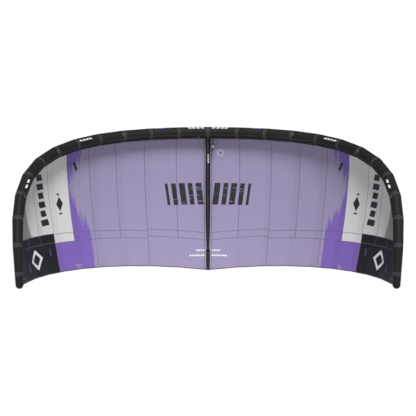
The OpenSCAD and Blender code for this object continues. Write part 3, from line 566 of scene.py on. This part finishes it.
lay("diamond_frame_print", frame_bars, on_cloth, pale_ink)
lines = [slanted(side * q, z, 0.010, 0.11, 0.0) for side in (-1, 1)
         for q, z in ((3.00, -1.615), (3.72, -1.70))]
lay("violet_lines_print", lines, on_cloth, violet_ink)


def on_casing(facet, lift=0.0009):
    """Returns a function that puts share-along and angle-up on one facet of the tube, right or left."""
    def place(share, angle):
        side = np.where(share < 0, -1.0, 1.0)[..., None] * np.array([1.0, 0, 0]) + np.array([0, 1.0, 1.0])
        share = np.abs(share)[..., None]
        core = joint[facet] + share * (joint[facet + 1] - joint[facet])
        start, stop = joint_ring(facet, angle), joint_ring(facet + 1, angle)
        shell = start + share * (stop - start)
        out = (shell - core) / np.linalg.norm(shell - core, axis=-1)[..., None]
        return (shell + lift * out) * side
    return place


for facet, wide, low, high, marks, colour, slot in [
        (0, 0.10, 0.95, 1.32, (0.12, 0.27, 0.42, 0.56), pale_ink, "canopy_white"),
        (1, 0.07, 1.10, 1.38, (0.50, 0.61, 0.72), violet_ink, "canopy_colour"),
        (4, 0.09, 0.62, 0.92, (0.36, 0.50, 0.64, 0.78), pale_ink, "canopy_white"),
        (8, 0.16, 0.60, 0.95, (0.25, 0.52), pale_ink, "canopy_white")]:
    bars = [[(side * (m), low), (side * (m + wide), low), (side * (m + wide + 0.05), high),
             (side * (m + 0.05), high)]
            for side in (-1, 1) for m in marks]
    lay("casing_bars_%d_print" % (facet + 1), bars, on_casing(facet), colour)

# Strut casing: one slim black tube down the middle, sewn like the leading edge, that is saddled to
# the tube at its head and closed flat at its tail.
strut_z = np.array([0.0, 0.300, 0.8415, 1.3651, 1.6456, 1.870])
strut_size = np.array([0.041, 0.03444, 0.03485, 0.0328, 0.02542, 0.018])
STRUT_LEN = strut_z[-1]


def strut_centre(z):
    """Depth and radius of the strut at height z. At each station it lies in front of the cloth by
    its own radius plus a gap that follows 4c(1-c), with c the share of its length to the power 1.2,
    and it runs straight from one station to the next."""
    c = (strut_z / STRUT_LEN) ** 1.2
    cloth_y = on_canopy(0.0 * strut_z, -strut_z)[..., 1]
    return (np.interp(-z, strut_z, cloth_y - 0.004 - strut_size - 0.027 * 4 * c * (1 - c)),
            np.interp(-z, strut_z, strut_size))


ring = np.linspace(0, 2 * np.pi, 40, endpoint=False)
head_y, head_r = strut_centre(np.full(40, -0.09))
head_depth = head_y + head_r * np.sin(ring) + np.abs(head_r * np.cos(ring)) * np.tan(turn[0])
head = -np.sqrt(np.maximum(0.0922 ** 2 - head_depth ** 2, 0))
drop = np.concatenate([np.linspace(0, 0.02, 4)[:-1], np.linspace(0.02, 1.0, 110)])[:, None]
z = head[None] + (-STRUT_LEN - head[None]) * drop
y, r = strut_centre(z)
gathered = (0.0011 * np.sin(9 * ring)[None] * np.exp(-((z + 1.60) / 0.10) ** 2)
            + 0.0008 * np.sin(13 * ring + 1)[None] * np.exp(-((z + 0.13) / 0.05) ** 2))
r = r + gathered
tube = np.stack([r * np.cos(ring)[None], y + r * np.sin(ring)[None], z], 2)
shut = np.array([0.96, 0.85, 0.6, 0.3, 0.02])[:, None, None]
last_c = np.array([0.0, strut_centre(np.array([-STRUT_LEN]))[0][0], -STRUT_LEN])
closing = (last_c + (tube[-1:] - last_c) * shut * np.array([1, 1, 0])
           + np.array([0, 0, -0.002]) * np.arange(1, 6)[:, None, None])
tube = np.concatenate([tube, closing])
strut = skin("strut_casing_sewn", tube, closed=True,
             maps={"cloth": np.stack(np.broadcast_arrays(np.linspace(0, 1, 41)[None] * 0.21,
                                                         np.append(z[:, :1], np.full(5, -1.872))[:, None]),
                                                         2)})
strut_cloth, tree, shader = finish("strut_sailcloth")
uv = put(tree, "ShaderNodeUVMap", uv_map="cloth").outputs[0]
xyz = put(tree, "ShaderNodeSeparateXYZ", {0: uv})
seams = 0.0
for level in (-0.34, -1.05, -1.62):
    seams = sums(tree, "MAXIMUM", line(tree, sums(tree, "SUBTRACT", xyz.outputs[1], level), 0.019, 0.002),
                 seams)
edge = line(tree, sums(tree, "SUBTRACT", xyz.outputs[0], 0.155), 0.009, 0.001)
dash = stripes(tree, xyz.outputs[1], 0.006, 0.0)
thread = sums(tree, "MULTIPLY",
              line(tree, sums(tree, "SUBTRACT",
                              sums(tree, "ABSOLUTE", sums(tree, "SUBTRACT", xyz.outputs[0], 0.155)), 0.006),
                              0.0011), dash)
cloudy = put(tree, "ShaderNodeTexNoise", {"Scale": 7.0, "Detail": 5.0}).outputs[0]
tone = blend(tree, cloudy, (0.0055, 0.0055, 0.0058, 1), (0.0095, 0.0095, 0.0100, 1))
tone = blend(tree, sums(tree, "MULTIPLY", sums(tree, "MAXIMUM", seams, edge), 0.5), tone,
             (0.034, 0.034, 0.036, 1))
tree.links.new(blend(tree, thread, tone, (0.09, 0.09, 0.092, 1)), shader.inputs["Base Color"])
height = sums(tree, "ADD", sums(tree, "MULTIPLY", weave(tree, uv, 0.0016), 0.1),
              sums(tree, "ADD", sums(tree, "MAXIMUM", seams, edge), thread))
relief(tree, shader, height, 0.5, 0.0008)
shader.inputs["Roughness"].default_value = 0.62
shader.inputs["Specular IOR Level"].default_value = 0.15
strut.data.materials.append(strut_cloth)
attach(strut, "kite")
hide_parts("strut_casing")


def on_strut(x, z):
    """Point on the strut's front at sideways offset x and height z, a hair proud of the cloth."""
    y, r = strut_centre(z)
    return np.stack([x, y - np.sqrt(np.maximum((r + 0.0012) ** 2 - x ** 2, 0)), z], -1)


lay("strut_dashes_print",
    [slanted(0.002 * (k % 2), -0.360 - 0.036 * k, 0.022, 0.020, 0.006) for k in range(4)], on_strut,
    pale_ink)

# Strut fin: a strip of dark cloth that joins the back of the strut to the canopy's centre line.
fin_z = np.linspace(-0.112, -1.868, 120)[:, None]
fin_y, fin_r = strut_centre(fin_z)
cloth_y = on_canopy(0.0 * fin_z, fin_z)[..., 1] - 0.0012
deep = np.linspace(0, 1, 8)[None]
fin = skin("strut_fin", np.stack(np.broadcast_arrays(0.0012 * np.sin(fin_z * 40) * np.sin(np.pi * deep),
                                                     (fin_y + fin_r) * (1 - deep) + cloth_y * deep, fin_z),
                                                     2),
           maps={"cloth": np.stack(np.broadcast_arrays(deep * 0.05, fin_z), 2)})
fin.modifiers.new("thickness", "SOLIDIFY").thickness = 0.0012
fin.data.materials.append(tape_cloth)
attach(fin, "kite")
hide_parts("strut_web")

# Tail patch: a strip of black sailcloth that ties the strut's tail to the trailing edge.
patch_x, patch_v = np.linspace(-0.032, 0.032, 15)[:, None], np.linspace(0, 1, 30)[None]
patch_z = -1.874 + (trailing(np.abs(patch_x)) + 0.013 + 1.874) * patch_v
lift = -0.0024 + 0.0012 * (np.abs(patch_x) / 0.032) ** 8
tail_patch = skin("strut_tail_patch_sewn",
                  on_canopy(patch_x + 0 * patch_v, patch_z, lift + slack(patch_x + 0 * patch_v, patch_z)),
                  flip=True,
                  maps={"cloth": np.stack(np.broadcast_arrays(patch_x + 0.155, patch_z), 2)})
tail_patch.modifiers.new("thickness", "SOLIDIFY").thickness = 0.0008
tail_patch.data.materials.append(strut_cloth)
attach(tail_patch, "kite")
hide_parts("strut_tail_patch")


# Air hose: silicone tube from the leading edge's elbow, through the pinch clip, to the strut.
fit_s = 0.097
fit_axis = tube_round(0, np.radians(np.array(-60.0)))
fit_r = np.interp(fit_s, along, tube_r)
fit_root = joint[0] + fit_s * facet_dir[0]
hose_head = fit_root + (fit_r + 0.0122) * fit_axis
side_y = np.interp(0.290, strut_z, [strut_centre(np.array([-s]))[0][0] for s in strut_z])
side_x = np.interp(0.290, strut_z, strut_size) + 0.0102
route = np.array([hose_head, hose_head + 0.012 * fit_axis, (0.086, -0.067, -0.130), (0.081, -0.064, -0.165),
                  (0.080, -0.062, -0.192), (0.080, -0.062, -0.238), (0.079, -0.050, -0.266),
                  (0.076, -0.024, -0.286),
                  (0.068, 0.002, -0.290), (side_x + 0.012, side_y, -0.290), (side_x, side_y, -0.290)])
tangent = np.gradient(route, axis=0)
tangent[0], tangent[-1] = fit_axis * 0.012, (-0.012, 0, 0)
t = np.linspace(0, 1, 9)[:, None]
spans = [(2 * t**3 - 3 * t**2 + 1) * a + (t**3 - 2 * t**2 + t) * da + (3 * t**2 - 2 * t**3) * b
         + (t**3 - t**2) * db
         for a, b, da, db in zip(route[:-1], route[1:], tangent[:-1], tangent[1:])]
way = np.concatenate([span[:-1] for span in spans] + [route[-1:]])
ahead = np.gradient(way, axis=0)
ahead /= np.linalg.norm(ahead, axis=1)[:, None]
across = np.cross(ahead, np.array([0.3, 0.8, 0.5]))
across /= np.linalg.norm(across, axis=1)[:, None]
third = np.cross(ahead, across)
gone = np.concatenate([[0], np.cumsum(np.linalg.norm(np.diff(way, axis=0), axis=1))])
lap = np.linspace(0, 2 * np.pi, 24, endpoint=False)
HOSE_R = 0.0079
tube = (way[:, None] + HOSE_R
        * (np.cos(lap)[None, :, None] * across[:, None] + np.sin(lap)[None, :, None] * third[:, None]))
tube = np.concatenate([way[:1, None] + 0 * tube[:1], tube, way[-1:, None] + 0 * tube[:1]])
gone = np.concatenate([gone[:1], gone, gone[-1:]])
hose = skin("air_hose", tube, closed=True, flip=True,
            maps={"cloth": np.stack(np.broadcast_arrays(gone[:, None], np.linspace(0, 0.05, 25)[None]), 2)})
rubber, tree, shader = finish("hose_silicone")
uv = put(tree, "ShaderNodeUVMap", uv_map="cloth").outputs[0]
xyz = put(tree, "ShaderNodeSeparateXYZ", {0: uv})
coil = sums(tree, "SINE",
            sums(tree, "MULTIPLY",
                 sums(tree, "ADD", xyz.outputs[0], sums(tree, "MULTIPLY", xyz.outputs[1], 0.08)),
                 2 * np.pi / 0.004))
dust = put(tree, "ShaderNodeTexNoise", {"Scale": 60.0, "Detail": 4.0}).outputs[0]
tree.links.new(blend(tree, dust, (0.016, 0.016, 0.018, 1), (0.030, 0.030, 0.033, 1)),
               shader.inputs["Base Color"])
relief(tree, shader, sums(tree, "ADD", coil, dust), 0.3, 0.0004)
shader.inputs["Roughness"].default_value = 0.45
hose.data.materials.append(rubber)
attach(hose, "kite")
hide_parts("hose")


# Valve, cap, flap, clip, ring, zip and loops: moulded, bent and sewn parts kept as they are in the
# frame, each with the finish of its real material.
def clad(made, *names):
    """Gives a finish to every material slot of the named frame parts."""
    for name in names:
        for slot in bpy.data.objects[name].material_slots:
            slot.material = made


def moulded(name, dark, light, rough, fine=90.0):
    """Injection-moulded plastic: a satin face with fine spark grain and faint cloudy wear."""
    made, tree, shader = finish(name)
    place = put(tree, "ShaderNodeTexCoord").outputs["Object"]
    grain = put(tree, "ShaderNodeTexNoise", {"Vector": place, "Scale": fine * 14, "Detail": 2.0}).outputs[0]
    wear = (put(tree, "ShaderNodeTexNoise",
                {"Vector": place, "Scale": fine, "Detail": 5.0, "Roughness": 0.6}).outputs[0])
    tree.links.new(blend(tree, wear, dark, light), shader.inputs["Base Color"])
    rubbed = (put(tree, "ShaderNodeMapRange",
                  {0: wear, 1: 0.3, 2: 0.7, 3: rough - 0.08, 4: rough + 0.1}).outputs[0])
    tree.links.new(rubbed, shader.inputs["Roughness"])
    relief(tree, shader, grain, 0.25, 0.0002)
    return made, tree, shader


black_plastic, tree, shader = moulded("valve_plastic", (0.010, 0.010, 0.011, 1), (0.022, 0.022, 0.024, 1),
                                      0.42)
clad(black_plastic, "valve_base", "valve_cap")
flap_film, tree, shader = moulded("flap_silicone", (0.42, 0.43, 0.45, 1), (0.55, 0.56, 0.58, 1), 0.35)
shader.inputs["Transmission Weight"].default_value = 0.3
clad(flap_film, "valve_flap")
elbow_plastic, tree, shader = moulded("fitting_plastic", (0.012, 0.012, 0.013, 1), (0.026, 0.026, 0.028, 1),
                                      0.42)
clad(elbow_plastic, "hose_fittings")
clip_plastic, tree, shader = moulded("clip_plastic", (0.40, 0.41, 0.43, 1), (0.52, 0.53, 0.54, 1), 0.38)
clad(clip_plastic, "clip_body", "clip_lever")

film, tree, shader = finish("bladder_film")
place = put(tree, "ShaderNodeTexCoord").outputs["Object"]
creases = (put(tree, "ShaderNodeTexNoise",
               {"Vector": place, "Scale": 12.0, "Detail": 6.0, "Roughness": 0.7}).outputs[0])
tree.links.new(blend(tree, creases, (0.60, 0.62, 0.68, 1), (0.75, 0.77, 0.82, 1)),
               shader.inputs["Base Color"])
relief(tree, shader, creases, 0.4, 0.001)
shader.inputs["Roughness"].default_value = 0.28
shader.inputs["Transmission Weight"].default_value = 0.4
clad(film, "le_bladder", "strut_bladder")

steel, tree, shader = finish("ring_steel")
place = put(tree, "ShaderNodeTexCoord").outputs["Object"]
brushed_way = (put(tree, "ShaderNodeVectorMath", {0: place, 1: (300.0, 300.0, 2500.0)},
                   operation="MULTIPLY").outputs[0])
lines = put(tree, "ShaderNodeTexNoise", {"Vector": brushed_way, "Scale": 1.0, "Detail": 3.0}).outputs[0]
tree.links.new(blend(tree, lines, (0.42, 0.42, 0.43, 1), (0.60, 0.60, 0.61, 1)),
               shader.inputs["Base Color"])
tree.links.new(put(tree, "ShaderNodeMapRange", {0: lines, 3: 0.22, 4: 0.42}).outputs[0],
               shader.inputs["Roughness"])
shader.inputs["Metallic"].default_value = 1.0
clad(steel, "leash_ring", "zip_slider")

patch_cloth, tree, shader = finish("leash_patch_cloth")
place = put(tree, "ShaderNodeTexCoord").outputs["Object"]
reach = (put(tree, "ShaderNodeVectorMath", {0: place, 1: (0.19972, 0.03141, -0.32793)},
             operation="DISTANCE").outputs["Value"])
rings = sums(tree, "MAXIMUM", line(tree, sums(tree, "SUBTRACT", reach, 0.060), 0.0011, 0.0004),
             line(tree, sums(tree, "SUBTRACT", reach, 0.030), 0.0011, 0.0004))
threads = put(tree, "ShaderNodeTexChecker", {"Vector": place, "Scale": 700.0}).outputs[1]
cloudy = put(tree, "ShaderNodeTexNoise", {"Vector": place, "Scale": 25.0, "Detail": 4.0}).outputs[0]
tone = blend(tree, cloudy, (0.27, 0.23, 0.37, 1), (0.36, 0.32, 0.46, 1))
tone = blend(tree, over(tree, sums(tree, "MULTIPLY", reach, -1.0), -0.019, 0.001), tone,
             (0.03, 0.03, 0.034, 1))
tree.links.new(blend(tree, sums(tree, "MULTIPLY", rings, 0.8), tone, (0.60, 0.58, 0.66, 1)),
               shader.inputs["Base Color"])
relief(tree, shader, sums(tree, "ADD", threads, rings), 0.3, 0.0004)
shader.inputs["Roughness"].default_value = 0.75
clad(patch_cloth, "leash_patch")

zip_cloth, tree, shader = finish("zip_tape_and_teeth")
place = put(tree, "ShaderNodeTexCoord").outputs["Object"]
xyz = put(tree, "ShaderNodeSeparateXYZ", {0: place})
teeth = stripes(tree, xyz.outputs[0], 0.003, 0.0)
zip_mid = (joint[0] + 0.265 * facet_dir[0]
           + np.interp(0.265, along, tube_r) * tube_round(0, np.radians(np.array(-76.0))))
middle = line(tree, sums(tree, "SUBTRACT", xyz.outputs[1],
                         sums(tree, "SUBTRACT", float(zip_mid[1] + 0.0875 * zip_mid[0]),
                              sums(tree, "MULTIPLY", xyz.outputs[0], 0.0875))), 0.0026, 0.0003)
tooth = sums(tree, "MULTIPLY", teeth, middle)
weft = put(tree, "ShaderNodeTexNoise", {"Vector": place, "Scale": 400.0, "Detail": 3.0}).outputs[0]
tone = blend(tree, weft, (0.030, 0.030, 0.032, 1), (0.055, 0.055, 0.058, 1))
tree.links.new(blend(tree, tooth, tone, (0.12, 0.12, 0.125, 1)), shader.inputs["Base Color"])
relief(tree, shader, sums(tree, "ADD", tooth, sums(tree, "MULTIPLY", weft, 0.3)), 0.6, 0.0008)
shader.inputs["Roughness"].default_value = 0.6
clad(zip_cloth, "zip_closure")

webbing, tree, shader = finish("loop_webbing")
place = put(tree, "ShaderNodeTexCoord").outputs["Object"]
ribs = (put(tree, "ShaderNodeTexWave", {"Vector": place, "Scale": 260.0, "Distortion": 0.6},
            bands_direction="DIAGONAL").outputs["Fac"])
fuzz = put(tree, "ShaderNodeTexNoise", {"Vector": place, "Scale": 500.0, "Detail": 3.0}).outputs[0]
tree.links.new(blend(tree, ribs, (0.045, 0.045, 0.048, 1),
                     blend(tree, fuzz, (0.07, 0.07, 0.074, 1), (0.11, 0.11, 0.115, 1))),
                     shader.inputs["Base Color"])
relief(tree, shader, sums(tree, "ADD", ribs, sums(tree, "MULTIPLY", fuzz, 0.4)), 0.6, 0.0006)
shader.inputs["Roughness"].default_value = 0.8
shader.inputs["Sheen Weight"].default_value = 0.15
clad(webbing, "bridle_loops_right", "bridle_loops_left", "tip_loop_right", "tip_loop_left")
